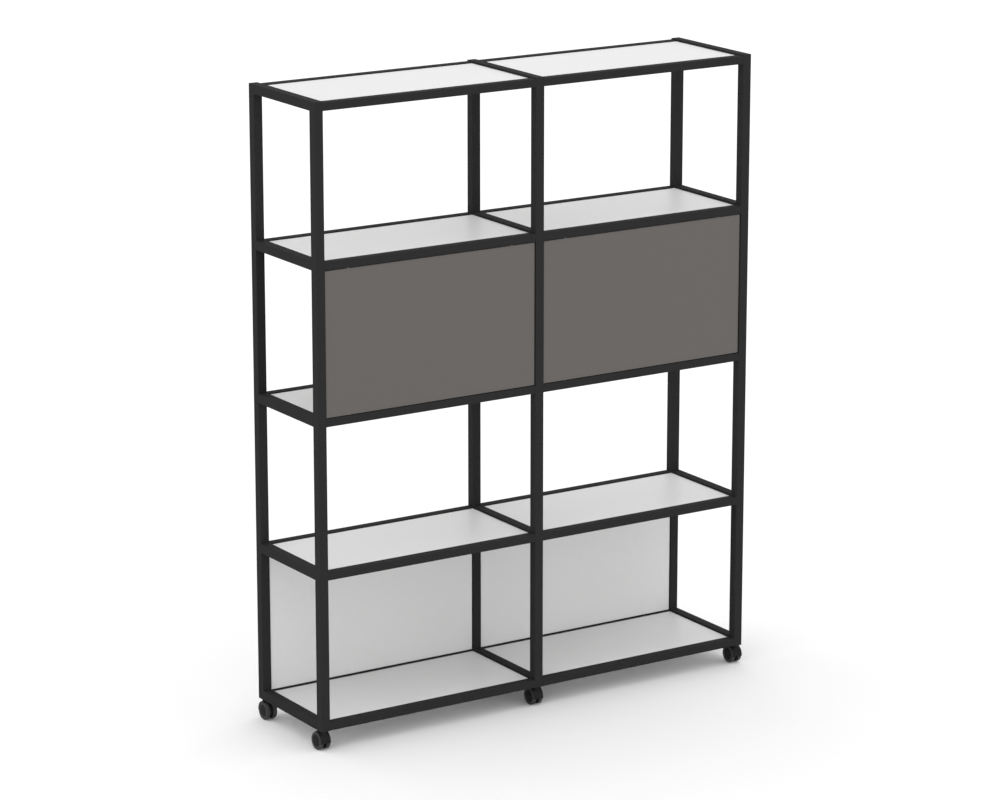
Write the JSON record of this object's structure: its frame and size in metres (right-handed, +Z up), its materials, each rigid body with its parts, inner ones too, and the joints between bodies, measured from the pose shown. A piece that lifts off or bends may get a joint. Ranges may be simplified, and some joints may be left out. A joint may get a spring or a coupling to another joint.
{
  "type": "metal shelving unit",
  "caption": "Mobile open shelving unit of black square steel tube with inset white boards, infill panels closing some compartments, and twin-wheel swivel castors.",
  "frame": {"origin": "on the floor, under the middle of the unit", "axes": "+Z up, +X to the right seen from the front, the front with the taupe panels faces -Y"},
  "size_m": [1.367, 0.337, 1.727],
  "materials": {
    "frame_black": "fine-textured black powder coat, satin",
    "board_white": "white laminated board, satin",
    "panel_taupe": "taupe laminated board, matt",
    "castor_black": "moulded black plastic, semi-matt",
    "tread_black": "moulded black plastic, matt tread"
  },
  "bodies": {
    "unit": {"side_frame_left": "frame_black", "side_frame_middle": "frame_black", "side_frame_right": "frame_black", "rail_front_left_level_1": "frame_black", "rail_front_left_level_2": "frame_black", "rail_front_left_level_3": "frame_black", "rail_front_left_level_4": "frame_black", "rail_front_left_level_5": "frame_black", "rail_front_right_level_1": "frame_black", "rail_front_right_level_2": "frame_black", "rail_front_right_level_3": "frame_black", "rail_front_right_level_4": "frame_black", "rail_front_right_level_5": "frame_black", "rail_back_left_level_1": "frame_black", "rail_back_left_level_2": "frame_black", "rail_back_left_level_3": "frame_black", "rail_back_left_level_4": "frame_black", "rail_back_left_level_5": "frame_black", "rail_back_right_level_1": "frame_black", "rail_back_right_level_2": "frame_black", "rail_back_right_level_3": "frame_black", "rail_back_right_level_4": "frame_black", "rail_back_right_level_5": "frame_black", "shelf_left_level_1": "board_white", "shelf_left_level_2": "board_white", "shelf_left_level_3": "board_white", "shelf_left_level_4": "board_white", "shelf_left_level_5": "board_white", "shelf_right_level_1": "board_white", "shelf_right_level_2": "board_white", "shelf_right_level_3": "board_white", "shelf_right_level_4": "board_white", "shelf_right_level_5": "board_white", "panel_front_left": "panel_taupe", "panel_front_right": "panel_taupe", "panel_back_left": "board_white", "panel_back_right": "board_white"},
    "castor_front_left": {"castor_front_left_housing": "castor_black"},
    "castor_front_left_wheel_left": {"castor_front_left_wheel_left": "tread_black"},
    "castor_front_left_wheel_right": {"castor_front_left_wheel_right": "tread_black"},
    "castor_front_middle": {"castor_front_middle_housing": "castor_black"},
    "castor_front_middle_wheel_left": {"castor_front_middle_wheel_left": "tread_black"},
    "castor_front_middle_wheel_right": {"castor_front_middle_wheel_right": "tread_black"},
    "castor_front_right": {"castor_front_right_housing": "castor_black"},
    "castor_front_right_wheel_left": {"castor_front_right_wheel_left": "tread_black"},
    "castor_front_right_wheel_right": {"castor_front_right_wheel_right": "tread_black"},
    "castor_back_left": {"castor_back_left_housing": "castor_black"},
    "castor_back_left_wheel_left": {"castor_back_left_wheel_left": "tread_black"},
    "castor_back_left_wheel_right": {"castor_back_left_wheel_right": "tread_black"},
    "castor_back_middle": {"castor_back_middle_housing": "castor_black"},
    "castor_back_middle_wheel_left": {"castor_back_middle_wheel_left": "tread_black"},
    "castor_back_middle_wheel_right": {"castor_back_middle_wheel_right": "tread_black"},
    "castor_back_right": {"castor_back_right_housing": "castor_black"},
    "castor_back_right_wheel_left": {"castor_back_right_wheel_left": "tread_black"},
    "castor_back_right_wheel_right": {"castor_back_right_wheel_right": "tread_black"}
  },
  "joints": [
    {"name": "castor_front_left_swivel", "type": "hinge", "parent": "unit", "child": "castor_front_left", "pos_m": [-0.6675, -0.156, 0.0524], "axis": [0, 0, 1], "continuous": true},
    {"name": "castor_front_left_wheel_left_spin", "type": "hinge", "parent": "castor_front_left", "child": "castor_front_left_wheel_left", "pos_m": [-0.6675, -0.142, 0.024], "axis": [1, 0, 0], "continuous": true},
    {"name": "castor_front_left_wheel_right_spin", "type": "hinge", "parent": "castor_front_left", "child": "castor_front_left_wheel_right", "pos_m": [-0.6675, -0.142, 0.024], "axis": [1, 0, 0], "continuous": true},
    {"name": "castor_front_middle_swivel", "type": "hinge", "parent": "unit", "child": "castor_front_middle", "pos_m": [0, -0.156, 0.0524], "axis": [0, 0, 1], "continuous": true},
    {"name": "castor_front_middle_wheel_left_spin", "type": "hinge", "parent": "castor_front_middle", "child": "castor_front_middle_wheel_left", "pos_m": [0, -0.142, 0.024], "axis": [1, 0, 0], "continuous": true},
    {"name": "castor_front_middle_wheel_right_spin", "type": "hinge", "parent": "castor_front_middle", "child": "castor_front_middle_wheel_right", "pos_m": [0, -0.142, 0.024], "axis": [1, 0, 0], "continuous": true},
    {"name": "castor_front_right_swivel", "type": "hinge", "parent": "unit", "child": "castor_front_right", "pos_m": [0.6675, -0.156, 0.0524], "axis": [0, 0, 1], "continuous": true},
    {"name": "castor_front_right_wheel_left_spin", "type": "hinge", "parent": "castor_front_right", "child": "castor_front_right_wheel_left", "pos_m": [0.6675, -0.142, 0.024], "axis": [1, 0, 0], "continuous": true},
    {"name": "castor_front_right_wheel_right_spin", "type": "hinge", "parent": "castor_front_right", "child": "castor_front_right_wheel_right", "pos_m": [0.6675, -0.142, 0.024], "axis": [1, 0, 0], "continuous": true},
    {"name": "castor_back_left_swivel", "type": "hinge", "parent": "unit", "child": "castor_back_left", "pos_m": [-0.6675, 0.156, 0.0524], "axis": [0, 0, 1], "continuous": true},
    {"name": "castor_back_left_wheel_left_spin", "type": "hinge", "parent": "castor_back_left", "child": "castor_back_left_wheel_left", "pos_m": [-0.6675, 0.142, 0.024], "axis": [1, 0, 0], "continuous": true},
    {"name": "castor_back_left_wheel_right_spin", "type": "hinge", "parent": "castor_back_left", "child": "castor_back_left_wheel_right", "pos_m": [-0.6675, 0.142, 0.024], "axis": [1, 0, 0], "continuous": true},
    {"name": "castor_back_middle_swivel", "type": "hinge", "parent": "unit", "child": "castor_back_middle", "pos_m": [0, 0.156, 0.0524], "axis": [0, 0, 1], "continuous": true},
    {"name": "castor_back_middle_wheel_left_spin", "type": "hinge", "parent": "castor_back_middle", "child": "castor_back_middle_wheel_left", "pos_m": [0, 0.142, 0.024], "axis": [1, 0, 0], "continuous": true},
    {"name": "castor_back_middle_wheel_right_spin", "type": "hinge", "parent": "castor_back_middle", "child": "castor_back_middle_wheel_right", "pos_m": [0, 0.142, 0.024], "axis": [1, 0, 0], "continuous": true},
    {"name": "castor_back_right_swivel", "type": "hinge", "parent": "unit", "child": "castor_back_right", "pos_m": [0.6675, 0.156, 0.0524], "axis": [0, 0, 1], "continuous": true},
    {"name": "castor_back_right_wheel_left_spin", "type": "hinge", "parent": "castor_back_right", "child": "castor_back_right_wheel_left", "pos_m": [0.6675, 0.142, 0.024], "axis": [1, 0, 0], "continuous": true},
    {"name": "castor_back_right_wheel_right_spin", "type": "hinge", "parent": "castor_back_right", "child": "castor_back_right_wheel_right", "pos_m": [0.6675, 0.142, 0.024], "axis": [1, 0, 0], "continuous": true}
  ]
}
